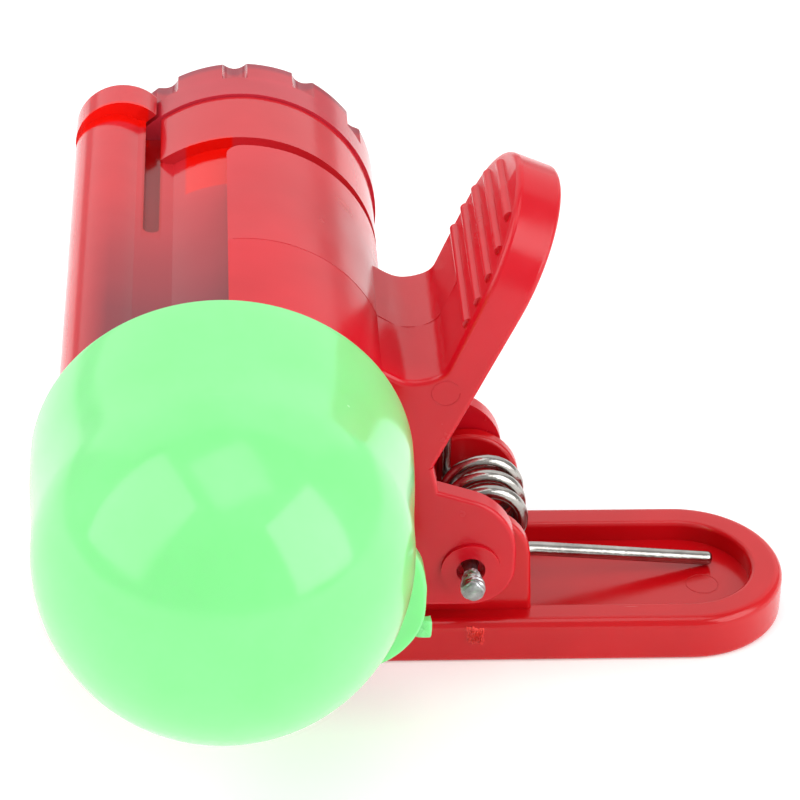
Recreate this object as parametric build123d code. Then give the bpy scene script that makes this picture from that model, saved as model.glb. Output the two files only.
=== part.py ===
"""Clip-on rod-tip bite alarm: opal dome lamp, clear red twin barrel, sprung clip.

Layout while modelling: the dome's centre is the zero point, the barrel runs
back along +Y, the clip handle points to +X, and up is +Z. The last step moves
every piece so that the part's origin is under the middle of its outline.
"""
from build123d import *
from math import cos, pi, radians, sin
import os

# ---- barrel and dome: sizes in mm -------------------------------------------
dome_radius = 12.0
dome_wall = 1.1
skirt_radius = 12.44
skirt_end = 10.1
skirt_bore = 11.15
spigot_radius = 11.1
spigot_bore = 9.9
spigot_start = 4.0
skirt_ledge = 0.6
tab_middle = (7.75, -9.9)
tab_size = (11.5, 12.0)
tab_corner = 5.4
tab_thickness = 1.6
flange_start = 10.3
flange_end = 11.5
flange_radius = 11.4

barrel_x = 1.5
barrel_radius = 9.0
barrel_bore = 7.4
collar_start = 37.2
collar_end = 43.5
collar_radius = 9.8
collar_bore = 8.3
collar_cut_x = -4.3

side_tube_x = -7.45
side_tube_z = 5.4
side_tube_radius = 3.0
side_tube_bore = 2.1
side_tube_floor = 42.0
lobe_x = -7.0
lobe_z = 5.9
lobe_radius = 3.45
lobe_end = 47.0
lobe_gap = 0.3
web_end = 27.0
pocket_left = -5.3
pocket_right = -4.2
pocket_floor = 6.3
pocket_top = 12.0

# ---- battery cap -------------------------------------------------------------
cap_start = 43.6
cap_end = 49.0
cap_radius = 10.0
cap_notches = 12
notch_width = 2.0
notch_depth = 0.65
notch_start = 46.2
spigot_fit = 0.05
cap_spigot_start = 38.2
cap_cavity_radius = 6.6
cap_rear_wall = 1.8
cap_post_radius = 2.6
cap_edge = 0.6
cap_dish_depth = 0.5
first_notch_angle = 2
seal_wire = 0.9
cap_seal_back = 1.1
seal_groove_half = 0.52
seal_groove_floor = 0.5

# ---- clip --------------------------------------------------------------------
clip_mid_y = 22.6
arm_half_width = 7.2
plate_half_width = 7.2
jaw_half_width = 6.1
pin_x = 17.0
pin_z = -12.3
pin_radius = 0.6
pin_hole_fit = 0.05
pin_near_y = 12.9
pin_head_radius = 1.1
pin_swell_radius = 0.85
hole_ring_radius = 2.05
hole_ring_height = 0.25
counterbore_radius = 1.0
counterbore_depth = 0.7
barrel_fit = 0.02
ear_radius = 3.1
ear_thickness = 1.5
ear_gap = 0.1
ear_shoulder = (16.84, -6.75)
inner_ear_x = 17.5
inner_ear_z = -12.7
inner_ear_radius = 3.8
inner_ear_thickness = 1.2
inner_ear_foot = 0.3
ear_clearance = 4.7
plate_top = -16.9
plate_bottom = -20.3
plate_right = 40.1
plate_left = -10.0
plate_rim = 2.3
plate_top_edge = 0.7
plate_bottom_edge = 0.4
recess_depth = 1.5
recess_left = 13.8
recess_softening = 0.35
saddle_start = 11.7
saddle_end = 36.0
saddle_radius = 9.8
saddle_from = 96.0
saddle_to = -140.0
saddle_corner = 1.2
jaw_line = -15.3
rod_groove_x = 2.5
rod_groove_radius = 3.2
tooth_places = (-6.6, -5.0, -3.4, 8.2, 9.8)
tooth_size = 0.7
jaw_plate_end = 10.8
lever_lean = 22.5
tip_centre_z = 8.1
tip_radius = 7.2
rib_count = 5
rib_pitch = 1.75
rib_start = 3.2
rib_end_gap = 0.75
rib_radius = 0.42
throat_low = 2.85
lever_softening = 0.4
ear_softening = 0.3

spring_x = 18.4
spring_z = -12.3
spring_mean_radius = 2.6
spring_wire = 1.0
spring_turns = 3.25
spring_pitch = 1.95
spring_start_y = 20.0

# ---- electronics -------------------------------------------------------------
board_start = 9.3
board_radius = 9.8
buzzer_radius = 6.0
buzzer_height = 3.2
contact_thickness = 0.4
cell_radius = 5.8
cell_height = 5.4
cell_count = 3
led_radius = 2.5
led_height = 8.6
led_standoff = 1.3
lead_spread = 1.27
lead_radius = 0.3
lead_hole = 0.36
sensor_start = 12.0
sensor_end = 30.0

# ---- worked-out places -------------------------------------------------------
seal_y = spigot_start + 2
dome_seal_radius = spigot_radius + barrel_fit - seal_wire / 2
cap_seal_radius = collar_bore - barrel_fit - seal_wire / 2
board_end = board_start + 1.0
buzzer_end = board_end + buzzer_height
front_contact_start = buzzer_end + 0.1
cells_start = front_contact_start + contact_thickness
cells_end = cells_start + cell_count * cell_height
cap_seal_y = cap_start - cap_seal_back
cap_post_start = 35.4
rear_contact_start = cap_post_start - contact_thickness
arm_near_y = clip_mid_y - arm_half_width
arm_far_y = clip_mid_y + arm_half_width
inner_ear_near_y = arm_near_y + ear_thickness + ear_gap
inner_ear_far_y = arm_far_y - ear_thickness - ear_gap
width_left = -skirt_radius
width_middle = (plate_right + width_left) / 2
length_middle = (cap_end - dome_radius) / 2


def rodY(x, z, y_from, y_to, radius):
    """A round bar along Y."""
    return Pos(x, (y_from + y_to) / 2, z) * Rot(-90, 0, 0) * Cylinder(radius, y_to - y_from)


def ringY(x, z, y_from, y_to, outer, inner):
    """A round sleeve along Y."""
    return rodY(x, z, y_from, y_to, outer) - rodY(x, z, y_from - 1, y_to + 1, inner)


def torusY(x, z, y, mean_radius, wire):
    """An O-ring whose axis runs along Y."""
    return Pos(x, y, z) * Rot(-90, 0, 0) * Torus(mean_radius, wire / 2)


def block(x_from, x_to, y_from, y_to, z_from, z_to):
    """A box between two corners."""
    middle = Pos((x_from + x_to) / 2, (y_from + y_to) / 2, (z_from + z_to) / 2)
    return middle * Box(x_to - x_from, y_to - y_from, z_to - z_from)


def slab(outline, y_from, y_to):
    """A flat outline in X and Z, made solid from y_from to y_to."""
    return extrude(Plane.XZ.offset(-y_to) * outline, y_to - y_from)


def outlineXZ(*points):
    """A closed straight-sided outline through (x, z) points."""
    return make_face(Polyline(*points, close=True))


def domeCap():
    """Hollow opal dome with a slightly flared skirt and a finger tab at its rim."""
    inner = dome_radius - dome_wall
    diagonal = cos(pi / 4)
    outer_mid = dome_radius * diagonal
    inner_mid = inner * diagonal
    outer_arc = ThreePointArc((0, -dome_radius), (outer_mid, -outer_mid), (dome_radius, 0))
    inner_arc = ThreePointArc((inner, 0), (inner_mid, -inner_mid), (0, -inner))
    skirt = Polyline((dome_radius, 0), (skirt_radius, skirt_end), (skirt_bore, skirt_end),
                     (skirt_bore, spigot_start - skirt_ledge), (inner, spigot_start - skirt_ledge), (inner, 0))
    tip = Line((0, -inner), (0, -dome_radius))
    shell = revolve(make_face([outer_arc, skirt, inner_arc, tip]), Axis.Y)
    tab_outline = Pos(*tab_middle) * RectangleRounded(*tab_size, tab_corner)
    tab = slab(tab_outline, skirt_end - tab_thickness, skirt_end)
    tab -= rodY(0, 0, skirt_end - 3, skirt_end + 1, skirt_radius - 0.4)
    nib = block(13.2, 13.9, skirt_end - 1.2, skirt_end - 0.4, -13.0, -12.1)
    return shell + tab + nib


def barrelBores():
    """The two long holes down the twin barrel."""
    main = rodY(barrel_x, 0, spigot_start - 1, collar_start + 0.1, barrel_bore)
    rear = rodY(barrel_x, 0, collar_start + 0.1, collar_end + 1, collar_bore)
    side = rodY(side_tube_x, side_tube_z, flange_start - 0.1, side_tube_floor, side_tube_bore)
    return main + rear + side


def valleyPocket():
    """Narrow pocket with a rounded front end in the valley between the two tubes."""
    half_width = (pocket_right - pocket_left) / 2
    middle = (pocket_left + pocket_right) / 2
    depth = pocket_top - pocket_floor
    slot = block(pocket_left, pocket_right, web_end + half_width, collar_end, pocket_floor, pocket_top)
    return slot + Pos(middle, web_end + half_width, pocket_floor + depth / 2) * Cylinder(half_width, depth)


def alarmBody():
    """Clear twin barrel: front flange and spigot, main and side tubes, collar and end lobe."""
    spigot = ringY(0, 0, spigot_start, flange_start, spigot_radius, spigot_bore)
    floor_radius = dome_seal_radius - seal_groove_floor
    groove_from = seal_y - seal_groove_half
    groove_to = seal_y + seal_groove_half
    seal_groove = ringY(0, 0, groove_from, groove_to, spigot_radius + 1, floor_radius)
    flange = rodY(0, 0, flange_start, flange_end, flange_radius)
    main = rodY(barrel_x, 0, flange_end, collar_end, barrel_radius)
    side = rodY(side_tube_x, side_tube_z, flange_start, collar_end, side_tube_radius)
    web = slab(outlineXZ((-6.4, 8.0), (-2.9, 7.6), (-4.0, 3.0), (-7.0, 3.0)), flange_end, collar_end)
    collar = rodY(barrel_x, 0, collar_start, collar_end, collar_radius)
    collar &= block(collar_cut_x, 20, collar_start, collar_end, -20, 20)
    lobe = rodY(lobe_x, lobe_z, collar_end, lobe_end, lobe_radius)
    lobe = fillet(lobe.edges().filter_by(GeomType.CIRCLE).sort_by(Axis.Y)[-1], 0.8)
    lobe -= rodY(barrel_x, 0, collar_end, lobe_end + 1, cap_radius + lobe_gap)
    shell = flange + main + side + web + collar + lobe
    shell = shell - barrelBores() - valleyPocket() + spigot
    shell -= rodY(side_tube_x, side_tube_z, flange_start - 2, flange_start + 0.5, side_tube_bore)
    return shell - seal_groove


def batteryCap():
    """Round cap with twelve grip notches, a plug that turns in the collar, and a contact post."""
    head = rodY(barrel_x, 0, cap_start, cap_end, cap_radius)
    head = fillet(head.edges().filter_by(GeomType.CIRCLE).sort_by(Axis.Y)[-1], cap_edge)
    for step in range(cap_notches):
        angle = radians(first_notch_angle + 360 / cap_notches * step)
        reach = cap_radius - notch_depth + notch_width / 2
        x = barrel_x + reach * cos(angle)
        z = reach * sin(angle)
        head -= rodY(x, z, notch_start, cap_end + 1, notch_width / 2)
    plug = rodY(barrel_x, 0, cap_spigot_start, cap_start, collar_bore - spigot_fit)
    cavity = rodY(barrel_x, 0, cap_spigot_start - 1, cap_end - cap_rear_wall, cap_cavity_radius)
    dish = rodY(barrel_x, 0, cap_end - cap_dish_depth, cap_end + 1, cap_cavity_radius)
    post = rodY(barrel_x, 0, cap_post_start, cap_end - cap_rear_wall + 0.2, cap_post_radius)
    groove_from = cap_seal_y - seal_groove_half
    groove_to = cap_seal_y + seal_groove_half
    groove = ringY(barrel_x, 0, groove_from, groove_to, collar_bore + 1, cap_seal_radius - seal_groove_floor)
    return head + plug - cavity - dish + post - groove


def saddle():
    """Opaque shell that wraps the barrel from its top round to underneath."""
    half_wrap = (saddle_from - saddle_to) / 2
    shell = ringY(barrel_x, 0, saddle_start, saddle_end, saddle_radius, barrel_radius + barrel_fit)
    gap_angle = 360 - 2 * half_wrap
    gap_mid = (saddle_from + saddle_to) / 2 + 180
    reach = 30
    corners = [(barrel_x, 0)]
    for turn in (-gap_angle / 2, 0, gap_angle / 2):
        angle = radians(gap_mid + turn)
        corners.append((barrel_x + reach * cos(angle), reach * sin(angle)))
    shell -= slab(outlineXZ(*corners), saddle_start - 1, saddle_end + 1)
    wall = saddle_radius - barrel_radius
    top_corners = shell.edges().filter_by(lambda edge: edge.length < wall).sort_by(Axis.Z)[-2:]
    return fillet(top_corners.sort_by(Axis.Y)[-1], saddle_corner)


def leverOutline():
    """Side view of the thumb lever, web and neck down to where the ears begin."""
    lean = radians(lever_lean)
    throat = Spline((9.0, 4.2), (10.2, 3.9), (12.3, throat_low), (13.8, 3.0), (14.9, 3.9),
                    tangents=[(1, -0.2), (sin(lean), cos(lean))])
    rest = Polyline((14.9, 3.9), (20.6, 17.6), (23.7, 16.3), (14.2, -4.1), (12.6, -6.4), (12.2, -9.0), (8.0, -9.0),
                    (9.0, 4.2))
    return make_face([throat, rest])


def leverTip():
    """Everything beyond the rounded end of the thumb lever, to be cut away."""
    lean = radians(lever_lean)
    frame = Plane(origin=(18.4, clip_mid_y, tip_centre_z), x_dir=(0, 1, 0), z_dir=(cos(lean), 0, -sin(lean)))
    square = Pos(0, 10) * Rectangle(20, 20)
    return extrude(frame * (square - Circle(tip_radius)), 8, both=True)


def lever():
    """Thumb lever and neck, with the long edges of both sides and the tip softened."""
    blank = slab(leverOutline(), arm_near_y, arm_far_y) - leverTip()
    edges = blank.edges().filter_by(Axis.Y, reverse=True)
    edges = edges.filter_by(lambda edge: edge.center().X > 11.5 and edge.center().Z > -6.0)
    edges = edges.filter_by(lambda edge: abs(edge.center().Z - tip_centre_z) > 0.5)
    return fillet(edges, lever_softening)


def thumbRibs():
    """Round ribs across the thumb face."""
    lean = radians(lever_lean)
    ribs = []
    tip_centre = (tip_centre_z - 3.9) / cos(lean)
    for step in range(rib_count):
        along = rib_start + rib_pitch * step
        x = 14.9 + along * sin(lean) + 0.12
        z = 3.9 + along * cos(lean)
        half = (tip_radius**2 - max(0, along - tip_centre)**2) ** 0.5 - rib_end_gap
        ribs.append(rodY(x, z, clip_mid_y - half, clip_mid_y + half, rib_radius))
    return ribs


def ears():
    """Outer hinge ears of the upper arm, with a raised ring round each pin hole."""
    side = outlineXZ((9.0, -4.0), (14.2, -4.1), (14.6, -6.0), ear_shoulder, (pin_x, pin_z),
                     (pin_x, pin_z - ear_radius), (9.0, pin_z - ear_radius))
    right = pin_x + ear_radius
    shoulder = ThreePointArc(ear_shoulder, (19.3, -8.48), (right, -11.0))
    bulge = make_face([shoulder, Polyline((right, -11.0), (right, pin_z), (pin_x, pin_z), ear_shoulder)])
    near = slab(side, arm_near_y, arm_near_y + ear_thickness)
    near += rodY(pin_x, pin_z, arm_near_y, arm_near_y + ear_thickness, ear_radius)
    near += slab(bulge, arm_near_y, arm_near_y + ear_thickness)
    outer = near.edges().filter_by_position(Axis.Y, arm_near_y - 0.01, arm_near_y + 0.01)
    near = fillet(outer.filter_by(lambda edge: edge.center().X > 14.3), ear_softening)
    near += ringY(pin_x, pin_z, arm_near_y - hole_ring_height, arm_near_y, hole_ring_radius, counterbore_radius)
    near -= rodY(pin_x, pin_z, arm_near_y - 1, arm_near_y + counterbore_depth, counterbore_radius)
    return near + mirror(near, Plane.XZ.offset(-clip_mid_y))


def upperJaw():
    """The jaw under the barrel, with a groove for the rod and grip teeth."""
    profile = outlineXZ((12.2, -6.0), (12.2, jaw_line), (-8.2, jaw_line), (-9.4, -14.0), (-6.6, -8.2), (0, -9.4),
                        (8.0, -7.0))
    return slab(profile, clip_mid_y - jaw_half_width, clip_mid_y + jaw_half_width)


def toothedCut(direction):
    """Grip teeth on both sides of the rod groove; direction is +1 for the upper jaw."""
    cuts = rodY(rod_groove_x, jaw_line, 0, 50, rod_groove_radius)
    for centre in tooth_places:
        peak = (centre, jaw_line + tooth_size * direction)
        points = ((centre - tooth_size, jaw_line), (centre + tooth_size, jaw_line), peak)
        cuts += slab(outlineXZ(*points), 0, 50)
    return cuts


def upperArm():
    """One moulding: saddle, web, thumb lever, outer ears and upper jaw."""
    arm = saddle() + lever() + ears() + upperJaw()
    for rib in thumbRibs():
        arm += rib
    arm -= rodY(barrel_x, 0, 0, 50, barrel_radius + barrel_fit)
    arm -= toothedCut(1)
    middle = inner_ear_near_y - ear_gap, inner_ear_far_y + ear_gap
    arm -= rodY(pin_x, pin_z, middle[0], middle[1], ear_clearance)
    arm -= block(13.4, spring_x - spring_mean_radius + 0.75, 25.7, 26.95, -6.0, 1.2)
    return arm - rodY(pin_x, pin_z, 0, 50, pin_radius + barrel_fit)


def plateOutline(left, right, half_width):
    """Round-ended outline seen from above, on the plane Z = 0."""
    length = right - left
    return Pos((left + right) / 2, clip_mid_y) * SlotOverall(length, 2 * half_width)


def inRecess(edge):
    """True for an edge of the recess, which lies further in than the plate's rim."""
    half = plate_half_width - plate_rim
    return abs(edge.center().Y - clip_mid_y) < half + 0.2 and edge.center().X < plate_right - plate_rim + 0.2


def lowerArm():
    """Round-ended handle plate with a recess, two inner ears and the lower jaw."""
    plate = Pos(0, 0, plate_bottom) * extrude(plateOutline(plate_left, plate_right, plate_half_width),
                                              plate_top - plate_bottom)
    plate = fillet(plate.edges().group_by(Axis.Z)[-1], plate_top_edge)
    plate = fillet(plate.edges().group_by(Axis.Z)[0], plate_bottom_edge)
    inside = plateOutline(recess_left, plate_right - plate_rim, plate_half_width - plate_rim)
    recess = Pos(0, 0, plate_top - recess_depth) * extrude(inside, recess_depth + 1)
    plate -= recess
    recess_rim = plate.edges().group_by(Axis.Z)[-1].filter_by(lambda edge: edge.center().X > recess_left + 1)
    plate = fillet(recess_rim.filter_by(inRecess), recess_softening)
    left = inner_ear_x - inner_ear_radius
    right = inner_ear_x + inner_ear_radius
    foot_z = plate_top - recess_depth
    side = outlineXZ((left, foot_z), (left, inner_ear_z), (right, inner_ear_z), (right + inner_ear_foot, foot_z))
    for near in (inner_ear_near_y, inner_ear_far_y - inner_ear_thickness):
        ear = slab(side, near, near + inner_ear_thickness)
        ear += rodY(inner_ear_x, inner_ear_z, near, near + inner_ear_thickness, inner_ear_radius)
        crown = ear.edges().filter_by(Axis.Y, reverse=True)
        crown = crown.filter_by(lambda edge: edge.center().Z > plate_top + 1)
        plate += fillet(crown, ear_softening)
    raised = extrude(plateOutline(plate_left + 0.8, plate_right, plate_half_width), jaw_line - plate_top + 0.75)
    between_ears = block(plate_left, jaw_plate_end, inner_ear_near_y, inner_ear_far_y, plate_bottom, 0)
    plate += Pos(0, 0, plate_top - 0.8) * raised & between_ears
    plate -= toothedCut(-1)
    return plate - rodY(pin_x, pin_z, 0, 50, pin_radius + pin_hole_fit)


def pivotPin():
    """Steel wire pin: cut and swollen at the near end, headed at the far end."""
    shaft = rodY(pin_x, pin_z, pin_near_y, arm_far_y + 0.4, pin_radius)
    head = rodY(pin_x, pin_z, arm_far_y + hole_ring_height, arm_far_y + 0.8, pin_head_radius)
    swell = Pos(pin_x, pin_near_y + 0.15, pin_z) * Rot(90, 0, 0) * Cone(pin_radius, pin_swell_radius, 0.9)
    return shaft + head + swell


def coilPath(turns, pitch, radius, start_angle):
    """A helix along +Y that turns clockwise as seen from the front."""
    helix = Helix(pitch, pitch * turns, radius, lefthand=False)
    return Rot(-90, 0, 0) * Rot(0, 0, start_angle) * helix


def torsionSpring():
    """Open-wound torsion spring: one leg in the plate's recess, one behind the lever."""
    coil = Pos(spring_x, spring_start_y, spring_z) * coilPath(spring_turns, spring_pitch, spring_mean_radius, 90)
    low = coil @ 0
    high = coil @ 1
    rest_z = plate_top - recess_depth + spring_wire / 2 + 0.05
    leg_end = Vector(35.2, 24.3, rest_z)
    elbow = Vector(21.0, 22.3, low.Z - 0.45)
    inner_bend = elbow - Vector(0.6, 0.5, -0.05)
    outer_bend = elbow + Vector(1.5, 0.2, -0.25)
    plate_leg = Spline(leg_end, outer_bend, inner_bend, low, tangents=[(elbow - leg_end).normalized(), coil % 0])
    leg_top = Vector(high.X, high.Y, -0.6)
    lever_leg = Spline(high, high + Vector(0, 0, 2.5), leg_top, tangents=[coil % 1, Vector(0, 0, 1)])
    wire = Wire([plate_leg] + coil.edges() + [lever_leg])
    section = Plane(origin=leg_end, z_dir=wire % 0) * Circle(spring_wire / 2)
    return sweep(section, path=wire)


def circuitBoard():
    """Round board seated on the flange inside the front spigot."""
    board = rodY(0, 0, board_start, board_end, board_radius)
    for x in (-lead_spread, lead_spread):
        board -= rodY(barrel_x + x, 0, board_start - 1, board_end + 1, lead_hole)
    return board


def led():
    """Five-millimetre lamp with a rounded lens and a base rim."""
    base = board_start - led_standoff
    lens = rodY(barrel_x, 0, base - led_height + led_radius, base, led_radius)
    lens += Pos(barrel_x, base - led_height + led_radius, 0) * Sphere(led_radius)
    return lens + rodY(barrel_x, 0, base - 1.0, base, led_radius + 0.4)


def ledLeads():
    """The lamp's two straight leads through the board."""
    leads = []
    for x in (-lead_spread, lead_spread):
        leads.append(rodY(barrel_x + x, 0, board_start - led_standoff, board_end, lead_radius))
    return Compound(leads)


def buzzer():
    """Round sounder behind the board, with its sound hole."""
    can = rodY(barrel_x, 0, board_end, buzzer_end, buzzer_radius)
    return can - rodY(barrel_x, 0, buzzer_end - 0.8, buzzer_end + 1, 1.0)


def boardParts():
    """Three small resistors on the front of the board."""
    chips = []
    for step in range(3):
        chips.append(block(4.6, 6.2, board_start - 0.5, board_start, -4.4 + 2.0 * step, -3.5 + 2.0 * step))
    return Compound(chips)


def driverChip():
    """Rounded blob of black resin over the driver chip."""
    blob = Pos(-4.4, board_start, -3.6) * Sphere(2.2)
    return blob & block(-10, 5, board_start - 1.1, board_start, -10, 5)


def cell(index):
    """One button cell with its smaller negative cap facing forward."""
    start = cells_start + index * cell_height
    can = rodY(barrel_x, 0, start + 0.5, start + cell_height, cell_radius)
    can = fillet(can.edges().filter_by(GeomType.CIRCLE), 0.25)
    return can + rodY(barrel_x, 0, start, start + 0.6, cell_radius - 1.0)


def cellSleeve():
    """Insulating tube that centres the cells in the barrel."""
    return ringY(barrel_x, 0, front_contact_start, cells_end + 0.8, barrel_bore - 0.04, cell_radius + 0.08)


def frontContact():
    """Contact plate between the sounder and the first cell."""
    return rodY(barrel_x, 0, front_contact_start, cells_start, cell_radius - 0.6)


def rearContact():
    """Contact disc on the end of the cap's post."""
    return rodY(barrel_x, 0, rear_contact_start, cap_post_start, 4.2)


def batterySpring():
    """Contact spring between the last cell and the cap's contact disc."""
    wire = 0.5
    turns = 3.5
    gap = 0.1
    travel = rear_contact_start - cells_end - wire - 2 * gap
    line = Pos(barrel_x, cells_end + wire / 2 + gap, 0) * coilPath(turns, travel / turns, 3.2, 0)
    return sweep(Plane(origin=line @ 0, z_dir=line % 0) * Circle(wire / 2), path=line, is_frenet=True)


def sensorTube():
    """Thin metal sleeve of the movement sensor."""
    return ringY(side_tube_x, side_tube_z, sensor_start, sensor_end, side_tube_bore - 0.05, side_tube_bore - 0.3)


def sensorPlugs():
    """Insulating plugs that close both ends of the sensor sleeve."""
    radius = side_tube_bore - 0.32
    front = rodY(side_tube_x, side_tube_z, sensor_start, sensor_start + 1.5, radius)
    rear = rodY(side_tube_x, side_tube_z, sensor_end - 1.5, sensor_end, radius)
    hole = rodY(side_tube_x, side_tube_z, sensor_start - 1, sensor_start + 3, lead_hole)
    return Compound([front - hole, rear])


def sensorPost():
    """Centre contact of the movement sensor, running forward to the board."""
    return rodY(side_tube_x, side_tube_z, board_end, sensor_end - 3, lead_radius)


def sensorSpring():
    """Fine whisker spring round the centre contact."""
    line = Pos(side_tube_x, sensor_start + 2, side_tube_z) * coilPath(11, 1.1, 1.1, 0)
    return sweep(Plane(origin=line @ 0, z_dir=line % 0) * Circle(0.15), path=line, is_frenet=True)


def save(name, shape):
    """Move a piece to the part's own origin and write it."""
    shift = Pos(-width_middle, -length_middle, -plate_bottom)
    export_step(shift * shape, f"parts/{name}.step")


os.makedirs("parts", exist_ok=True)
save("dome_cap", domeCap())
save("alarm_body", alarmBody())
save("battery_cap", batteryCap())
save("upper_arm", upperArm())
save("lower_arm", lowerArm())
save("pivot_pin", pivotPin())
save("torsion_spring", torsionSpring())
save("dome_seal", torusY(0, 0, seal_y, dome_seal_radius, seal_wire))
save("cap_seal", torusY(barrel_x, 0, cap_seal_y, cap_seal_radius, seal_wire))
save("circuit_board", circuitBoard())
save("led", led())
save("led_leads", ledLeads())
save("driver_chip", driverChip())
save("board_parts", boardParts())
save("buzzer", buzzer())
save("front_contact", frontContact())
for number in range(cell_count):
    save(f"cell_{number + 1}", cell(number))
save("cell_sleeve", cellSleeve())
save("battery_spring", batterySpring())
save("rear_contact", rearContact())
save("sensor_tube", sensorTube())
save("sensor_plugs", sensorPlugs())
save("sensor_post", sensorPost())
save("sensor_spring", sensorSpring())
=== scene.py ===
import bmesh
import bpy
import math
import numpy as np
from mathutils import Matrix, Vector


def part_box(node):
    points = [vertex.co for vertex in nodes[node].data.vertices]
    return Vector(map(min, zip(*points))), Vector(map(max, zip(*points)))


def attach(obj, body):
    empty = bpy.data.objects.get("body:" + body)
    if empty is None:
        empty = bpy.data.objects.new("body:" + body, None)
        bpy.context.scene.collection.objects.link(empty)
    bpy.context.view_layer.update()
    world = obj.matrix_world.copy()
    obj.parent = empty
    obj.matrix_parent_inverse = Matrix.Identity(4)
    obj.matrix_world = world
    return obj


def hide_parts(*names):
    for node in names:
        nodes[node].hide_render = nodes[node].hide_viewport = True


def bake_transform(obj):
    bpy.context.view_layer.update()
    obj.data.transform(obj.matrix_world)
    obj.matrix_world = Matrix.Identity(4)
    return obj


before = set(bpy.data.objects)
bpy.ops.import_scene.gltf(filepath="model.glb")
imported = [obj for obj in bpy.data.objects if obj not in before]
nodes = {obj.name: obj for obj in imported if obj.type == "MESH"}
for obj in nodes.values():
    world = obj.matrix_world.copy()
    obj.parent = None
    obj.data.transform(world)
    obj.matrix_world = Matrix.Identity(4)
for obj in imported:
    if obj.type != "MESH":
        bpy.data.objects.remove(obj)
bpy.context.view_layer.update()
mm = 0.001

# Everything below is measured in millimetres from the middle of the dome, as the part is designed.
domeLow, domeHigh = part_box("dome_cap")
dome = {"radius": 12.0, "wall": 1.1, "skirtRadius": 12.44, "skirtEnd": 10.1, "skirtBore": 11.15, "ledge": 3.4,
        "rimRound": 0.22, "tabThick": 1.6, "tabMiddle": (7.75, -9.9), "tabSize": (11.5, 12.0),
        "tabCorner": 5.4}
zero = np.array([domeLow.x + dome["skirtRadius"] * mm, domeLow.y + dome["radius"] * mm,
                 domeHigh.z - dome["skirtRadius"] * mm])
barrel = {"x": 1.5, "radius": 9.0, "saddle": 9.8, "collarStart": 37.2, "collarRadius": 9.8, "collarCut": -4.3}
clip = {"midY": 22.6, "pinX": 17.0, "pinZ": -12.3, "armNear": 15.4, "plateNear": 15.4, "recessFloor": -18.4}
print("frame loaded, dome middle at", [round(float(v), 4) for v in zero])


def placed(points):
    # Millimetres from the dome's middle, as metres in the shared frame.
    return np.asarray(points, float) * mm + zero


def gridPiece(name, grid, closeU=False, closeV=False, poles=(False, False), uv=True):
    # A surface from a grid of points, rows by columns: each square of four neighbours is a face. closeU joins
    # the last row to the first, closeV the last column to the first. A pole closes an end row to its middle.
    rows, cols = grid.shape[:2]
    r, c = np.meshgrid(np.arange(rows if closeU else rows - 1), np.arange(cols if closeV else cols - 1),
                       indexing="ij")
    rNext, cNext = (r + 1) % rows, (c + 1) % cols
    faces = np.stack([r * cols + c, rNext * cols + c, rNext * cols + cNext, r * cols + cNext],
                     -1).reshape(-1, 4)
    points = grid.reshape(-1, 3)
    corners = np.stack([np.stack([r, c], -1), np.stack([r + 1, c], -1), np.stack([r + 1, c + 1], -1),
                        np.stack([r, c + 1], -1)], -2).reshape(-1, 2)
    uvs = (corners / np.array([max(rows - 1, 1), cols])).tolist()
    faces = faces.tolist()
    for end, wanted in enumerate(poles):
        if wanted:
            row = 0 if end == 0 else rows - 1
            points = np.vstack([points, grid[row].mean(0)])
            ring = np.arange(cols)
            fan = np.stack([np.full(cols, len(points) - 1), row * cols + ring,
                            row * cols + (ring + 1) % cols], -1)
            faces += fan.tolist()
            uvs += np.tile([[end, 0.0], [end, 0.0], [end, 1.0]], (cols, 1)).tolist()
    mesh = bpy.data.meshes.new(name)
    mesh.from_pydata(placed(points).tolist(), [], faces)
    if uv:
        layer = mesh.uv_layers.new(name="along")
        layer.data.foreach_set("uv", np.asarray(uvs, np.float32).ravel())
    work = bmesh.new()
    work.from_mesh(mesh)
    bmesh.ops.remove_doubles(work, verts=work.verts, dist=1e-7)
    bmesh.ops.recalc_face_normals(work, faces=work.faces)
    work.to_mesh(mesh)
    work.free()
    mesh.shade_smooth()
    piece = bpy.data.objects.new(name, mesh)
    bpy.context.scene.collection.objects.link(piece)
    return piece


def tubeGrid(path, radius, sides, turn=0.0):
    # A tube: at each point of the path a ring of the given radius lies square to the path, its first spoke as
    # near to the Y direction as it can be.
    path = np.asarray(path, float)
    along = np.gradient(path, axis=0)
    along /= np.linalg.norm(along, axis=1, keepdims=True)
    yAxis = np.array([0.0, 1.0, 0.0])
    first = yAxis - (along @ yAxis)[:, None] * along
    first /= np.linalg.norm(first, axis=1, keepdims=True)
    second = np.cross(along, first)
    angle = np.linspace(0, 2 * np.pi, sides, endpoint=False) + turn
    radius = np.broadcast_to(np.atleast_1d(radius).reshape(-1, 1), (len(path), sides))
    spoke = first[:, None] * np.cos(angle)[None, :, None] + second[:, None] * np.sin(angle)[None, :, None]
    return path[:, None] + spoke * radius[..., None]


def hermite(points, slopes, steps):
    # A smooth line through points: between two of them a cubic that leaves and arrives along the given slopes.
    points, slopes = np.asarray(points, float), np.asarray(slopes, float)
    t = np.linspace(0, 1, steps, endpoint=False)[:, None]
    spans = [((2 * t**3 - 3 * t**2 + 1) * points[k] + (t**3 - 2 * t**2 + t) * slopes[k]
              + (3 * t**2 - 2 * t**3) * points[k + 1] + (t**3 - t**2) * slopes[k + 1])
             for k in range(len(points) - 1)]
    return np.vstack(spans + [points[-1:]])


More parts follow.
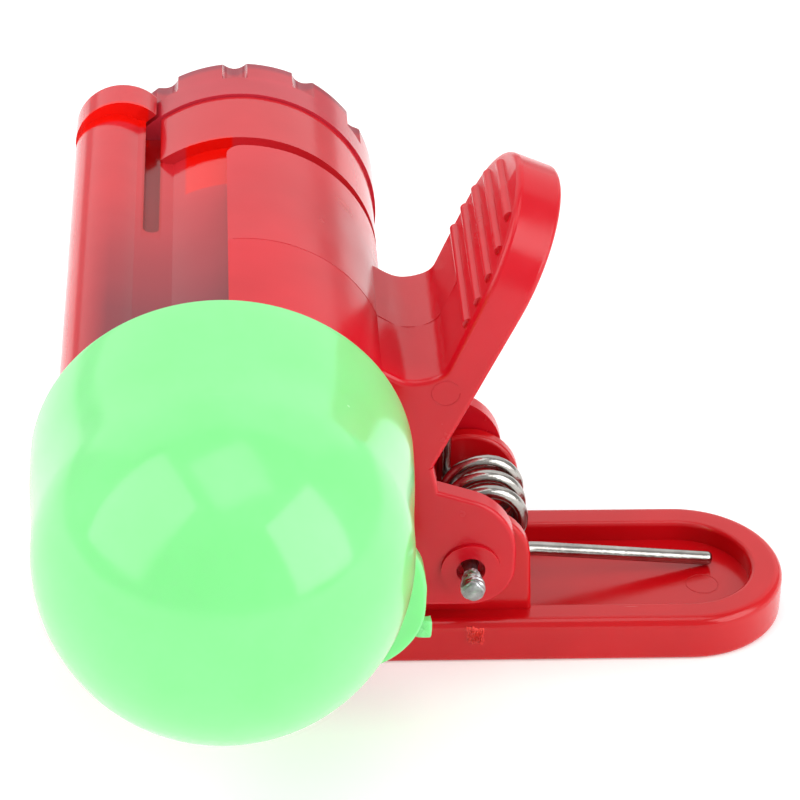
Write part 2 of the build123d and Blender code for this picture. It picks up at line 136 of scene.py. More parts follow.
def waves(a, b, seed, count=6, low=1.0, high=4.0):
    # Soft irregular relief from -1 to 1: a few sine waves of random direction and phase, added up.
    pick = np.random.default_rng(seed)
    total = np.zeros(np.broadcast(a, b).shape)
    for _ in range(count):
        fa, fb = pick.uniform(-high, high, 2)
        total += np.sin((low + abs(fa)) * np.sign(fa) * a + fb * b + pick.uniform(0, 2 * np.pi))
    return total / count


# small helpers that build shader trees
def link(tree, source, target):
    tree.links.new(source, target)


def node(tree, kind, **settings):
    # a new node: a setting that names an input sets it, any other sets the node itself
    made = tree.nodes.new(kind)
    for key, value in settings.items():
        name = key.replace("_", " ")
        if name in made.inputs:
            made.inputs[name].default_value = value
        else:
            setattr(made, key, value)
    return made


def mathNode(tree, operation, a, b=None):
    # one sum: each side is a number or another node's output
    made = tree.nodes.new("ShaderNodeMath")
    made.operation = operation
    for socket, value in zip(made.inputs, (a, b)):
        if value is None:
            continue
        if isinstance(value, (int, float)):
            socket.default_value = value
        else:
            tree.links.new(value, socket)
    return made.outputs[0]


def ranged(tree, value, fromMin, fromMax, toMin, toMax):
    # the value carried in a straight line from one range to another, held at its ends
    made = node(tree, "ShaderNodeMapRange")
    link(tree, value, made.inputs["Value"])
    for name, number in zip(("From Min", "From Max", "To Min", "To Max"), (fromMin, fromMax, toMin, toMax)):
        made.inputs[name].default_value = number
    return made.outputs["Result"]


def mixColour(tree, share, first, second):
    # the first colour at share 0, the second at share 1
    made = node(tree, "ShaderNodeMix", data_type="RGBA")
    if isinstance(share, (int, float)):
        made.inputs[0].default_value = share
    else:
        link(tree, share, made.inputs[0])
    for socket, value in ((made.inputs[6], first), (made.inputs[7], second)):
        if isinstance(value, tuple):
            socket.default_value = (*value, 1.0)
        else:
            link(tree, value, socket)
    return made.outputs[2]


def noiseOf(tree, coordinate, scale, detail=3.0, rough=0.5):
    # cloudy noise from 0 to 1 in object space
    made = node(tree, "ShaderNodeTexNoise", Scale=scale, Detail=detail, Roughness=rough)
    link(tree, coordinate, made.inputs["Vector"])
    return made.outputs["Fac"]


def dustMask(tree, coordinate, scale, size, share):
    # Sparse round specks: the middles of random cells, kept only in a share of them.
    cells = node(tree, "ShaderNodeTexVoronoi", Scale=scale)
    link(tree, coordinate, cells.inputs["Vector"])
    colour = node(tree, "ShaderNodeSeparateColor")
    link(tree, cells.outputs["Color"], colour.inputs[0])
    near = ranged(tree, cells.outputs["Distance"], size, size * 0.6, 0.0, 1.0)
    kept = mathNode(tree, "LESS_THAN", colour.outputs[0], share)
    return mathNode(tree, "MULTIPLY", near, kept)


def scratchMask(tree, coordinate, turn, fine, share):
    # Hairline scratches: noise drawn out along one direction, cut to its highest thin bands, in patches.
    stretch = node(tree, "ShaderNodeMapping")
    stretch.inputs["Rotation"].default_value = turn
    stretch.inputs["Scale"].default_value = (260.0, fine, fine * 0.4)
    link(tree, coordinate, stretch.inputs["Vector"])
    lines = noiseOf(tree, stretch.outputs[0], 1.0, 1.0)
    thin = ranged(tree, lines, 0.70, 0.73, 0.0, 1.0)
    patches = ranged(tree, noiseOf(tree, coordinate, 110.0, 1.0), 1 - share, 1 - share + 0.04, 0.0, 1.0)
    return mathNode(tree, "MULTIPLY", thin, patches)


def zoneMask(tree, coordinate, zone):
    # A soft-edged box in millimetres from the dome's middle: each axis fades in from the first number to the
    # second and out from the third to the fourth, and the axes are multiplied.
    parts = node(tree, "ShaderNodeSeparateXYZ")
    link(tree, coordinate, parts.inputs[0])
    mask = zone.get("share", 1.0)
    for axis, limits in zone["limits"].items():
        start, full, end, gone = [float(limit * mm + zero[axis]) for limit in limits]
        rise = ranged(tree, parts.outputs[axis], start, full, 0.0, 1.0)
        fall = ranged(tree, parts.outputs[axis], end, gone, 1.0, 0.0)
        mask = mathNode(tree, "MULTIPLY", mathNode(tree, "MULTIPLY", rise, fall), mask)
    return mask


def mouldedMaterial(name, s):
    # Moulded plastic: cloudy colour, orange-peel gloss, dust specks and hairline scratches, and a slight tilt
    # of the surface either side of the parting plane, as a mould's draft gives.
    made = bpy.data.materials.new(name)
    made.use_nodes = True
    tree = made.node_tree
    shader = tree.nodes["Principled BSDF"]
    place = node(tree, "ShaderNodeTexCoord").outputs["Object"]
    clouds = noiseOf(tree, place, s["cloudScale"], 2.0)
    colour = mixColour(tree, ranged(tree, clouds, 0.3, 0.7, 0.0, 1.0), s["colour"], s["colourDeep"])
    # zones paint light and shade into the colour: painted shade and painted reflections in soft-edged boxes
    for zone in s.get("zones", ()):
        colour = mixColour(tree, zoneMask(tree, place, zone), colour, zone["colour"])
    dust = dustMask(tree, place, s["dustScale"], s["dustSize"], s["dustShare"])
    scratches = scratchMask(tree, place, (0.4, 0.2, 0.9), s["scratchFine"], s["scratchShare"])
    marks = mathNode(tree, "MAXIMUM", dust, mathNode(tree, "MULTIPLY", scratches, s["scratchStrength"]))
    colour = mixColour(tree, mathNode(tree, "MULTIPLY", marks, s["markStrength"]), colour, s["markColour"])
    link(tree, colour, shader.inputs["Base Color"])
    smear = noiseOf(tree, place, s["smearScale"], 4.0, 0.6)
    rough = ranged(tree, smear, 0.3, 0.75, s["rough"][0], s["rough"][1])
    rough = mathNode(tree, "ADD", rough, mathNode(tree, "MULTIPLY", marks, 0.3))
    link(tree, rough, shader.inputs["Roughness"])
    peel = mathNode(tree, "MULTIPLY", noiseOf(tree, place, s["peelScale"], 2.0), s["peelHeight"] * mm)
    ripple = mathNode(tree, "MULTIPLY", noiseOf(tree, place, s["rippleScale"], 1.0), s["rippleHeight"] * mm)
    height = mathNode(tree, "ADD", peel, ripple)
    height = mathNode(tree, "SUBTRACT", height, mathNode(tree, "MULTIPLY", scratches, 0.004 * mm))
    if s.get("draft"):
        parts = node(tree, "ShaderNodeSeparateXYZ")
        link(tree, place, parts.inputs[0])
        away = mathNode(tree, "ABSOLUTE", mathNode(tree, "SUBTRACT", parts.outputs[1],
                                                   float(clip["midY"] * mm + zero[1])))
        height = mathNode(tree, "SUBTRACT", height, mathNode(tree, "MULTIPLY", away, s["draft"]))
    bump = node(tree, "ShaderNodeBump", Strength=1.0, Distance=1.0)
    link(tree, height, bump.inputs["Height"])
    link(tree, bump.outputs[0], shader.inputs["Normal"])
    shader.inputs["IOR"].default_value = s.get("ior", 1.5)
    shader.inputs["Specular IOR Level"].default_value = s.get("shine", 0.5)
    shader.inputs["Transmission Weight"].default_value = s.get("clear", 0.0)
    shader.inputs["Subsurface Weight"].default_value = s.get("milk", 0.0)
    shader.inputs["Subsurface Radius"].default_value = s.get("milkReach", (1.0, 0.2, 0.1))
    shader.inputs["Subsurface Scale"].default_value = s.get("milkScale", 0.6) * mm
    return made


def metalMaterial(name, s):
    # Drawn or rolled metal: grain along the piece's own length where it has a UV, tarnish clouds, fine pits.
    made = bpy.data.materials.new(name)
    made.use_nodes = True
    tree = made.node_tree
    shader = tree.nodes["Principled BSDF"]
    where = node(tree, "ShaderNodeTexCoord")
    place = where.outputs["Object"]
    grainPlace = node(tree, "ShaderNodeMapping")
    if s.get("drawn"):
        grainPlace.inputs["Scale"].default_value = (s["drawn"][0], s["drawn"][1], 1.0)
        link(tree, where.outputs["UV"], grainPlace.inputs["Vector"])
    else:
        grainPlace.inputs["Scale"].default_value = s.get("grain", (900.0, 900.0, 900.0))
        link(tree, place, grainPlace.inputs["Vector"])
    grain = noiseOf(tree, grainPlace.outputs[0], 1.0, 3.0, 0.6)
    tarnish = noiseOf(tree, place, s["tarnishScale"], 4.0, 0.6)
    colour = mixColour(tree, ranged(tree, tarnish, 0.35, 0.7, 0.0, 1.0), s["colour"], s["colourDeep"])
    colour = mixColour(tree, ranged(tree, grain, 0.45, 0.75, 0.0, s.get("grainDark", 0.35)), colour,
                       (0.10, 0.09, 0.08))
    link(tree, colour, shader.inputs["Base Color"])
    rough = ranged(tree, grain, 0.3, 0.7, s["rough"][0], s["rough"][1])
    link(tree, rough, shader.inputs["Roughness"])
    pits = mathNode(tree, "MULTIPLY", noiseOf(tree, place, s.get("pitScale", 2500.0), 3.0),
                    s.get("pitHeight", 0.02) * mm)
    height = mathNode(tree, "ADD", pits, mathNode(tree, "MULTIPLY", grain, s.get("grainHeight", 0.01) * mm))
    bump = node(tree, "ShaderNodeBump", Strength=1.0, Distance=1.0)
    link(tree, height, bump.inputs["Height"])
    link(tree, bump.outputs[0], shader.inputs["Normal"])
    shader.inputs["Metallic"].default_value = 1.0
    return made


plain = {"cloudScale": 160.0, "dustScale": 330.0, "dustSize": 0.05, "dustShare": 0.10, "scratchFine": 4800.0,
         "scratchShare": 0.30, "scratchStrength": 0.16, "markStrength": 0.5,
         "markColour": (0.85, 0.72, 0.72), "smearScale": 260.0,
         "rough": (0.16, 0.30), "peelScale": 900.0, "peelHeight": 0.006, "rippleScale": 130.0,
         "rippleHeight": 0.02}
redOpaque = mouldedMaterial("redMoulded", {**plain, "colour": (0.59, 0.005, 0.015),
                                           "colourDeep": (0.53, 0.003, 0.011),
                                           "milk": 0.25, "milkReach": (1.0, 0.12, 0.08), "milkScale": 0.7,
                                           "draft": 0.03, "shine": 0.38})
# painted shade: the lower arm gets a darker copy of the upper arm's red, for the shade on the plate's sides and
# recess
redLowerShaded = mouldedMaterial("redMouldedLowerShaded",
                           {**plain, "colour": (0.56, 0.003, 0.007), "colourDeep": (0.50, 0.002, 0.005),
                                               "milk": 0.25, "milkReach": (1.0, 0.12, 0.08), "milkScale": 0.7,
                                               "rough": (0.14, 0.26), "dustShare": 0.16, "shine": 0.40})
# painted light in the clear plastic, not its dye: painted shade and painted reflections in soft-edged boxes;
# axis 0 is X, 1 is Y and 2 is Z
# painted shade: the front of the body darkened where the shadowed inside shows through the clear wall
paintedShadeInside = {"limits": {1: (-20, -10, 16, 33), 0: (-9.6, -7.4, 1, 2)}, "colour": (0.27, 0.020, 0.036),
              "share": 0.9}
# painted reflection: bright orange-red under the collar's edge, standing in for light caught inside the clear
# plastic
paintedReflectionUnderCollar = {"limits": {1: (31.7, 32.0, 37.2, 37.6), 0: (-2.5, -2.3, 0.8, 1.0)},
                   "colour": (1.0, 0.006, 0.002)}
# painted reflection: bright orange-red under the lobe, standing in for light caught inside the clear plastic
paintedReflectionUnderLobe = {"limits": {1: (42.2, 42.6, 43.7, 43.9), 0: (-11, -10.5, -5.2, -5.0)},
                 "colour": (1.0, 0.006, 0.002)}
# painted shade: a darker, deeper red along the pocket where shade falls
paintedShadePocket = {"limits": {1: (26, 28, 42, 44), 0: (-5.5, -5.35, -4.15, -4.0)}, "colour": (0.62, 0.004, 0.006)}
# painted shade: the cap's far rim darkened where its rounded back edge shows through
paintedShadeCapRim = {"limits": {1: (47.6, 48.1, 60, 61)}, "colour": (0.36, 0.025, 0.055), "share": 0.8}
# the body's clear red carries the painted shade and painted reflections of the zones above
clearRed = mouldedMaterial("redClear", {**plain, "zones": (paintedShadeInside, paintedShadePocket, paintedReflectionUnderCollar,
                                                           paintedReflectionUnderLobe), "colour": (0.80, 0.030, 0.042),
                                        "colourDeep": (0.72, 0.022, 0.032),
                                        "clear": 0.35, "rough": (0.09, 0.17), "shine": 0.34, "ior": 1.49,
                                        "dustShare": 0.14,
                                        "markStrength": 0.3})
# the cap's clear red carries the painted shade along its rim
clearRedCap = mouldedMaterial("redClearCap", {**plain, "zones": (paintedShadeCapRim,), "colour": (0.72, 0.034, 0.058),
                                              "colourDeep": (0.66, 0.026, 0.045),
                                              "clear": 0.35, "rough": (0.10, 0.18), "shine": 0.34,
                                              "ior": 1.49, "dustShare": 0.14,
                                              "markStrength": 0.3})
opal = mouldedMaterial("opalGreen", {**plain, "colour": (0.225, 0.74, 0.265),
                                     "colourDeep": (0.205, 0.71, 0.24),
                                     "milk": 0.6, "milkReach": (0.5, 1.0, 0.6), "milkScale": 1.2,
                                     "rough": (0.10, 0.2), "markStrength": 0.1,
                                     "markColour": (0.8, 1.0, 0.85),
                                     "dustShare": 0.05, "scratchShare": 0.35, "peelHeight": 0.002,
                                     "rippleHeight": 0.012})
wireSteel = metalMaterial("drawnSteel", {"colour": (0.48, 0.46, 0.43), "colourDeep": (0.32, 0.30, 0.28),
                                         "drawn": (3.0, 26.0),
                                         "tarnishScale": 500.0, "rough": (0.12, 0.26), "grainHeight": 0.006})
pinSteel = metalMaterial("cutSteel", {"colour": (0.52, 0.53, 0.54), "colourDeep": (0.24, 0.23, 0.23),
                                      "drawn": (9.0, 5.0),
                                      "tarnishScale": 1500.0, "rough": (0.2, 0.5), "pitHeight": 0.05,
                                      "grainHeight": 0.03, "grainDark": 0.6})
brass = metalMaterial("contactPlate", {"colour": (0.72, 0.68, 0.60), "colourDeep": (0.55, 0.50, 0.42),
                                       "tarnishScale": 300.0,
                                       "rough": (0.2, 0.4)})
cellCan = metalMaterial("cellCan", {"colour": (0.70, 0.70, 0.68), "colourDeep": (0.55, 0.55, 0.54),
                                    "tarnishScale": 200.0,
                                    "rough": (0.15, 0.35)})
rubber = mouldedMaterial("sealRubber", {**plain, "colour": (0.02, 0.02, 0.022),
                                        "colourDeep": (0.035, 0.035, 0.035),
                                        "rough": (0.5, 0.7)})
darkSleeve = mouldedMaterial("sleevePlastic",
                             {**plain, "colour": (0.030, 0.022, 0.028), "colourDeep": (0.02, 0.015, 0.02),
                                               "rough": (0.4, 0.6)})
laminate = mouldedMaterial("boardLaminate",
                           {**plain, "colour": (0.02, 0.14, 0.05), "colourDeep": (0.015, 0.10, 0.04),
                                             "rough": (0.3, 0.45)})
blackResin = mouldedMaterial("blackResin",
                             {**plain, "colour": (0.012, 0.012, 0.013), "colourDeep": (0.02, 0.02, 0.02),
                                            "rough": (0.15, 0.3)})
ledGlass = mouldedMaterial("ledEpoxy", {**plain, "colour": (0.85, 0.95, 0.85), "colourDeep": (0.8, 0.92, 0.8),
                                        "clear": 0.8, "rough": (0.05, 0.12)})
ceramic = mouldedMaterial("resistorCeramic",
                          {**plain, "colour": (0.03, 0.03, 0.035), "colourDeep": (0.4, 0.4, 0.38),
                                              "rough": (0.3, 0.5)})
paleInsulator = mouldedMaterial("paleInsulator",
                                {**plain, "colour": (0.55, 0.52, 0.45), "colourDeep": (0.48, 0.45, 0.4),
                                                  "rough": (0.35, 0.5)})
finishes = {"alarm_body": clearRed, "battery_cap": clearRedCap, "upper_arm": redOpaque, "lower_arm": redLowerShaded,
            "dome_seal": rubber, "cap_seal": rubber, "circuit_board": laminate, "led": ledGlass,
            "led_leads": brass,
            "driver_chip": blackResin, "board_parts": ceramic, "buzzer": darkSleeve, "front_contact": brass,
            "cell_1": cellCan, "cell_2": cellCan, "cell_3": cellCan, "cell_sleeve": darkSleeve,
            "battery_spring": brass, "rear_contact": brass, "sensor_tube": darkSleeve,
            "sensor_plugs": paleInsulator,
            "sensor_post": brass, "sensor_spring": brass, "dome_cap": opal, "pivot_pin": pinSteel,
            "torsion_spring": wireSteel}
for name, finish in finishes.items():
    slots = nodes[name].material_slots
    for slot in slots:
        slot.material = finish
print("materials made and given to", len(finishes), "CAD nodes")


def domeProfile(s):
    # The dome's wall cut through its axis, as (radius, y): round nose, flaring skirt with a rounded rim, then
    # back inside along the bore, over the ledge and round the inner nose.
    outer, inner = s["radius"], s["radius"] - s["wall"]
    a = np.linspace(0, np.pi / 2, 72)
    nose = np.stack([outer * np.sin(a), -outer * np.cos(a)], -1)
    t = np.linspace(0, 1, 26)[1:]
    blend = t - np.sin(2 * np.pi * t) / (2 * np.pi)
    flare = np.stack([outer + (s["skirtRadius"] - outer) * (0.35 * t + 0.65 * blend),
                      t * (s["skirtEnd"] - s["rimRound"])], -1)
    r = np.linspace(0, np.pi / 2, 7)[1:]
    k = s["rimRound"]
    rimOut = np.stack([s["skirtRadius"] - k + k * np.cos(r), s["skirtEnd"] - k + k * np.sin(r)], -1)
    rimIn = np.stack([s["skirtBore"] + k - k * np.sin(r), s["skirtEnd"] - k + k * np.cos(r)], -1)
    bore = np.stack([np.full(8, s["skirtBore"]), np.linspace(s["skirtEnd"] - k - 0.1, s["ledge"], 8)], -1)
    inside = np.stack([np.full(6, inner), np.linspace(s["ledge"], 0, 6)], -1)
    hollow = np.stack([inner * np.sin(a[::-1]), -inner * np.cos(a[::-1])], -1)[1:]
    return np.vstack([nose, flare, rimOut, rimIn, bore, inside, hollow])


profile = domeProfile(dome)
theta = np.linspace(0, 2 * np.pi, 180, endpoint=False)
domeGrid = np.stack([profile[:, :1] * np.cos(theta), np.repeat(profile[:, 1:], len(theta), 1),
                     profile[:, :1] * np.sin(theta)], -1)
domeShell = gridPiece("domeShell", domeGrid, closeV=True)


def plateGrid(outline, thick, edge, steps=6):
    # A flat plate with rounded edges: the outline shrinks along a quarter round towards each face.
    r = np.linspace(0, np.pi / 2, steps)
    inset = np.concatenate([edge * (1 - np.cos(r[::-1]))[:-1], edge * (1 - np.cos(r))])
    depth = np.concatenate([edge * (1 - np.sin(r[::-1]))[:-1], thick - edge * (1 - np.sin(r))])
    middle = outline.mean(0)
    size = np.linalg.norm(outline - middle, axis=1).mean()
    rings = middle + (outline - middle)[None] * (1 - inset / size)[:, None, None]
    return rings, depth


def roundedSquare(width, height, corner, count=24):
    # A rectangle's outline whose corners are quarter rounds.
    quarter = np.linspace(0, np.pi / 2, count)
    centres = ((width / 2 - corner, height / 2 - corner, 0),
               (-width / 2 + corner, height / 2 - corner, np.pi / 2),
               (-width / 2 + corner, -height / 2 + corner, np.pi),
               (width / 2 - corner, -height / 2 + corner, 1.5 * np.pi))
    return np.vstack([np.stack([x + corner * np.cos(quarter + a), z + corner * np.sin(quarter + a)], -1)
                      for x, z, a in centres])


tabOutline = roundedSquare(*dome["tabSize"], dome["tabCorner"]) + np.array(dome["tabMiddle"])
reach = np.linalg.norm(tabOutline, axis=1, keepdims=True)
insideRim = dome["skirtRadius"] - 0.25
tabOutline = np.where(reach < insideRim, tabOutline / reach * insideRim, tabOutline)
rings, depths = plateGrid(tabOutline, dome["tabThick"], 0.3)
rings += 0.05 * waves(rings[..., 0], rings[..., 1], 7)[..., None] * np.array([1.0, 0.6])
tabGrid = np.stack([rings[..., 0], np.broadcast_to((dome["skirtEnd"] - depths)[:, None], rings.shape[:2]),
                    rings[..., 1]], -1)
domeTab = gridPiece("domeTab", tabGrid, closeV=True, poles=(True, True))
nib = {"middle": (13.4, 9.3, -12.7), "size": (0.6, 0.42, 0.75), "power": 0.3}
u, v = np.meshgrid(np.linspace(0, np.pi, 14), np.linspace(0, 2 * np.pi, 24, endpoint=False), indexing="ij")
lump = 1 + 0.12 * waves(3 * u, 2 * v, 3)
power = nib["power"]
nibGrid = np.stack([np.sign(np.sin(u) * np.cos(v)) * abs(np.sin(u) * np.cos(v))**power,
                    np.sign(np.cos(u)) * abs(np.cos(u))**power,
                    np.sign(np.sin(u) * np.sin(v)) * abs(np.sin(u) * np.sin(v))**power], -1)
nibGrid = nibGrid * lump[..., None] * np.array(nib["size"]) * 0.9 + np.array(nib["middle"])
domeNib = gridPiece("domeNib", nibGrid, closeV=True, poles=(True, True))
for piece in (domeShell, domeTab, domeNib):
    piece.data.materials.append(opal)
    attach(piece, "front_dome")
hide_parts("dome_cap")
print("dome, tab and nib made")

spring = {"x": 18.4, "z": -12.3, "mean": 2.6, "wire": 0.5, "pitch": 1.95, "turns": 3.25, "startY": 20.0,
          "legEnd": (35.2, 24.3, -17.85), "elbow": (21.0, 22.3, -15.35), "legTop": -0.6,
          "bendFrom": (21.2, 22.3, -15.2), "bendTo": (25.5, 22.9, -16.1)}
a = np.linspace(0, 2 * np.pi * spring["turns"], 300)
coil = np.stack([spring["x"] + spring["mean"] * np.cos(a + np.pi / 2),
                 spring["startY"] + spring["pitch"] * a / (2 * np.pi),
                 spring["z"] - spring["mean"] * np.sin(a + np.pi / 2)], -1)
low, high = coil[0], coil[-1]
legEnd, elbow = np.array(spring["legEnd"]), np.array(spring["elbow"])
outerBend, innerBend = elbow + (1.5, 0.2, -0.25), elbow + (-0.6, -0.5, 0.05)
straight = outerBend - legEnd
coilRun = coil[1] - coil[0]
coilRun /= np.linalg.norm(coilRun)
plateLeg = np.vstack([np.linspace(legEnd, outerBend, 60, endpoint=False),
                      hermite([outerBend, innerBend, low], [straight / np.linalg.norm(straight) * 2.2,
                                                            (low - outerBend) * 0.5, coilRun * 2.8], 24)])
leverLeg = hermite([high, high + (0, 0, 2.5), (high[0], high[1], spring["legTop"])],
                   [(0, 0.3, 2.5), (0, 0, 5.0), (0, 0, 9.0)], 24)
wirePath = np.vstack([plateLeg[:-1], coil, leverLeg[1:]])
length = np.concatenate([[0], np.cumsum(np.linalg.norm(np.diff(wirePath, axis=0), axis=1))])
toEnd = np.minimum(length, length[-1] - length)
wireRadius = spring["wire"] * (1 - 0.16 * np.clip(1 - toEnd / 0.12, 0, 1)**2)
coilSpring = gridPiece("coilSpring", tubeGrid(wirePath, wireRadius, 28), closeV=True, poles=(True, True))
coilSpring.data.materials.append(wireSteel)
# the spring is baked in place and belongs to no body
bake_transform(coilSpring)
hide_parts("torsion_spring")

pin = {"near": 12.6, "swell": 0.85, "shaft": 0.6, "farShaft": 30.0, "headFrom": 30.05, "headTo": 30.6,
       "head": 1.1,
       "places": (12.6, 12.72, 12.95, 13.3, 13.9, 14.5, 15.1, 15.7, 16.3), "ridgesTo": 14.9,
       "ridgePitch": 0.36,
       "radii": (0.60, 0.74, 0.83, 0.81, 0.68, 0.55, 0.46, 0.50, 0.60)}
y = np.concatenate([np.linspace(pin["near"], pin["ridgesTo"], 150),
                    np.linspace(pin["ridgesTo"] + 0.05, pin["farShaft"], 90)])
swell = np.interp(y, pin["places"], pin["radii"])
swell = np.convolve(np.pad(swell, 3, mode="edge"), np.ones(7) / 7, mode="valid")
theta = np.linspace(0, 2 * np.pi, 64, endpoint=False)
yy, tt = np.meshgrid(y, theta, indexing="ij")
rough = np.clip((pin["ridgesTo"] - yy) / 0.4, 0, 1) * np.clip((yy - pin["near"]) / 0.2, 0, 1)
ridges = 0.07 * np.sin(2 * np.pi * yy / pin["ridgePitch"] + 1.6 * np.sin(2 * tt) + 2.0 * waves(2 * yy, tt, 6))
radius = swell[:, None] + rough * (ridges + 0.03 * waves(9 * yy, 3 * tt, 11))
radius = np.minimum(radius, pin["swell"])
axis = np.stack([np.full_like(y, clip["pinX"]), y, np.full_like(y, clip["pinZ"])], -1)
pinGrid = axis[:, None] + np.stack([radius * np.cos(tt), np.zeros_like(tt), radius * np.sin(tt)], -1)
headT = np.linspace(0, np.pi / 2, 8)
headR = np.concatenate([[pin["shaft"] * 0.98, pin["head"] - 0.05, pin["head"]],
                        pin["head"] - 0.18 + 0.18 * np.cos(headT)])
headY = np.concatenate([[pin["headFrom"], pin["headFrom"] + 0.01, pin["headFrom"] + 0.06],
                        pin["headTo"] - 0.18 + 0.18 * np.sin(headT)])
headGrid = np.stack([clip["pinX"] + headR[:, None] * np.cos(theta), np.repeat(headY[:, None], len(theta), 1),
                     clip["pinZ"] + headR[:, None] * np.sin(theta)], -1)
pinWire = gridPiece("pinWire", np.concatenate([pinGrid, headGrid]), closeV=True, poles=(True, True))
pinWire.data.materials.append(pinSteel)
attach(pinWire, "alarm")
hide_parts("pivot_pin")
print("spring and pin made")


def lineOnArm():
    # The parting line in the clip's middle plane: round the saddle, through the throat, up to the thumb ribs.
    a = np.radians(np.linspace(94, 23, 60))
    over = np.stack([barrel["x"] + barrel["saddle"] * np.cos(a), np.full(60, clip["midY"]),
                     barrel["saddle"] * np.sin(a)], -1)
    throat = hermite([(10.72, clip["midY"], 3.66), (12.3, clip["midY"], 2.85), (13.8, clip["midY"], 3.0),
                      (14.9, clip["midY"], 3.9), (16.0, clip["midY"], 6.6)],
                     [(1.5, 0, -0.8), (1.6, 0, -0.1), (1.2, 0, 0.6), (0.9, 0, 1.7), (1.1, 0, 2.7)], 16)
    return np.vstack([over[over[:, 0] < 10.6], throat])


details = {"lineRadius": 0.02, "witnessPlace": (14.85, 1.95), "witnessRadius": 0.95,
           "ejectPlace": (34.35, 21.9), "ejectRadius": 1.15, "ringWire": 0.035}
partingLine = gridPiece("partingLine", tubeGrid(lineOnArm(), details["lineRadius"], 8), closeV=True,
                        poles=(True, True))
partingLine.data.materials.append(redOpaque)
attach(partingLine, "alarm")


def ringMark(name, place, radius, wire, flat, level, opened=0.0):
    # A thin raised ring as an ejector leaves: a torus half sunk in the face, uneven in height, open for a part.
    turn = np.linspace(opened, 2 * np.pi, 90, endpoint=opened > 0)
    wobble = 1 + 0.03 * waves(2 * turn, 0 * turn, 5)
    around = np.linspace(0, 2 * np.pi, 8, endpoint=False)
    t, w = np.meshgrid(turn, around, indexing="ij")
    thick = wire * (0.75 + 0.35 * waves(3 * t, 0 * t, 9))
    r = radius * wobble[:, None] + thick * np.cos(w)
    lift = thick * np.sin(w)
    first, second = place[0] + r * np.cos(t), place[1] + r * np.sin(t)
    grid = np.stack([first, second, level + lift], -1) if flat else np.stack([first, level - lift, second],
                                                                             -1)
    return gridPiece(name, grid, closeU=opened == 0, closeV=True, poles=(opened > 0, opened > 0))


witnessRing = ringMark("witnessRing", details["witnessPlace"], details["witnessRadius"],
                       details["ringWire"], False,
                       clip["armNear"], 0.6)
ejectorRing = ringMark("ejectorRing", details["ejectPlace"], details["ejectRadius"], details["ringWire"],
                       True,
                       clip["recessFloor"])
witnessRing.data.materials.append(redOpaque)
ejectorRing.data.materials.append(redLowerShaded)
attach(witnessRing, "alarm")
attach(ejectorRing, "clip_arm")

# gate scar: a torn stub on the near side of the plate, under the pin
scar = {"x": (16.9, 18.2), "z": (-18.75, -17.3), "height": 0.3}
u, v = np.meshgrid(np.linspace(-1, 1, 46), np.linspace(-1, 1, 42), indexing="ij")
edgeFade = np.clip(1 - np.maximum(abs(u), abs(v))**3, 0, 1)
torn = np.clip(0.35 + 0.9 * waves(5 * u, 5 * v, 21, 9, 2.0, 7.0) + 0.5 * waves(13 * u, 11 * v, 22, 9, 2.0,
                                                                               7.0), 0, 1)
scarGrid = np.stack([np.mean(scar["x"]) + (0.65 + 0.12 * waves(0 * u, 4 * v, 2)) * u,
                     clip["plateNear"] + 0.03 - (scar["height"] + 0.03) * edgeFade * torn,
                     np.mean(scar["z"]) + (0.7 + 0.12 * waves(4 * u, 0 * v, 4)) * v - 0.12 * u], -1)
backGrid = scarGrid.copy()
backGrid[..., 1] = clip["plateNear"] + 0.06
rim = np.concatenate([scarGrid, backGrid[::-1]])
gateScar = gridPiece("gateScar", rim, closeU=True)
scarRed = mouldedMaterial("tornRed", {**plain, "colour": (1.0, 0.05, 0.035),
                                      "colourDeep": (0.70, 0.012, 0.012),
                                      "cloudScale": 1400.0,
                                      "rough": (0.12, 0.45), "smearScale": 1800.0,
                                      "markColour": (0.95, 0.75, 0.75),
                                      "dustScale": 1500.0, "dustSize": 0.42, "dustShare": 0.3,
                                      "markStrength": 0.9})
gateScar.data.materials.append(scarRed)
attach(gateScar, "clip_arm")
print("moulding details made")

floorMesh = bpy.data.meshes.new("floor")
side = 3.0
floorMesh.from_pydata([(-side, -side, 0), (side, -side, 0), (side, side, 0), (-side, side, 0)], [],
                      [(0, 1, 2, 3)])
floor = bpy.data.objects.new("floor", floorMesh)
bpy.context.scene.collection.objects.link(floor)
paper = bpy.data.materials.new("palePaper")
paper.use_nodes = True
paperShader = paper.node_tree.nodes["Principled BSDF"]
paperPlace = node(paper.node_tree, "ShaderNodeTexCoord").outputs["Object"]
paperShade = mixColour(paper.node_tree, noiseOf(paper.node_tree, paperPlace, 40.0), (0.90, 0.90, 0.90),
                       (0.93, 0.93, 0.93))
link(paper.node_tree, paperShade, paperShader.inputs["Base Color"])
paperShader.inputs["Roughness"].default_value = 0.9
paperShader.inputs["Specular IOR Level"].default_value = 0.1
paperShader.inputs["Emission Color"].default_value = (1.0, 1.0, 1.0, 1.0)
paperShader.inputs["Emission Strength"].default_value = 0.2
floorMesh.materials.append(paper)

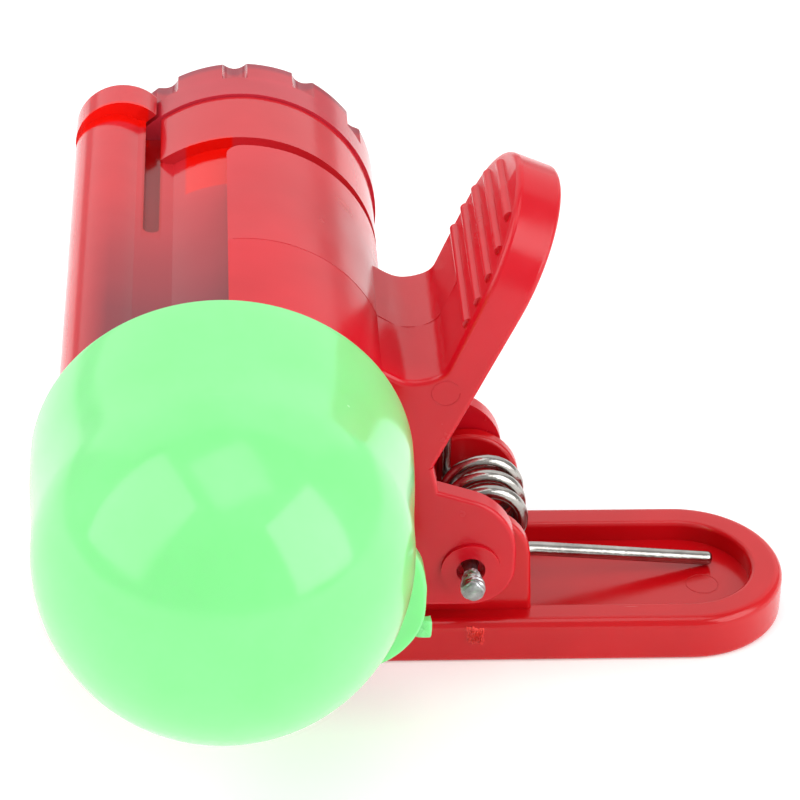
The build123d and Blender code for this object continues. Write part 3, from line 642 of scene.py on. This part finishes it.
world = bpy.data.worlds.new("studio")
bpy.context.scene.world = world
world.use_nodes = True
world.node_tree.nodes["Background"].inputs["Color"].default_value = (1.0, 1.0, 1.0, 1.0)
world.node_tree.nodes["Background"].inputs["Strength"].default_value = 0.52

softBoxes = {"overhead": {"toward": (0.08, -0.15, 0.98), "away": 0.55, "size": (0.34, 0.34), "glow": 1.7},
             "backBox": {"toward": (0.0, 0.78, 0.62), "away": 0.7, "size": (1.5, 0.75), "glow": 0.68},
             "leftBox": {"toward": (-0.75, -0.26, 0.60), "away": 0.5, "size": (0.44, 0.55), "glow": 2.3},
             "rightBox": {"toward": (0.75, -0.40, 0.40), "away": 0.5, "size": (0.38, 0.42), "glow": 3.3}}
target = Vector(zero.tolist())
for name, box in softBoxes.items():
    data = bpy.data.lights.new(name, "AREA")
    data.shape = "RECTANGLE"
    data.size, data.size_y = box["size"]
    data.energy = box["glow"] * math.pi * box["size"][0] * box["size"][1]  # watts that give that brightness
    light = bpy.data.objects.new(name, data)
    toward = Vector(box["toward"]).normalized()
    light.location = target + toward * box["away"]
    light.rotation_euler = toward.to_track_quat("Z", "Y").to_euler()
    bpy.context.scene.collection.objects.link(light)

view = {"place": (-0.3049, -164.2496, 114.3812), "down": 0.5601, "toRight": 0.0673, "roll": 0.0281,
        "lens": 144.0}
cameraData = bpy.data.cameras.new("camera")
cameraData.lens = view["lens"]
cameraData.sensor_width = 36.0
cameraData.clip_start = 0.01
camera = bpy.data.objects.new("camera", cameraData)
bpy.context.scene.collection.objects.link(camera)
down, right, roll = view["down"], view["toRight"], view["roll"]
ahead = Vector((math.sin(right) * math.cos(down), math.cos(right) * math.cos(down), -math.sin(down)))
level = Vector((math.cos(right), -math.sin(right), 0))
upright = level.cross(ahead)
across = math.cos(roll) * level + math.sin(roll) * upright
above = -math.sin(roll) * level + math.cos(roll) * upright
turned = Matrix((across, above, -ahead)).transposed().to_4x4()
camera.matrix_world = Matrix.Translation(Vector(placed(view["place"]).tolist())) @ turned
bpy.context.scene.camera = camera
bpy.context.scene.view_settings.view_transform = "Standard"
print("floor, lights and camera made")
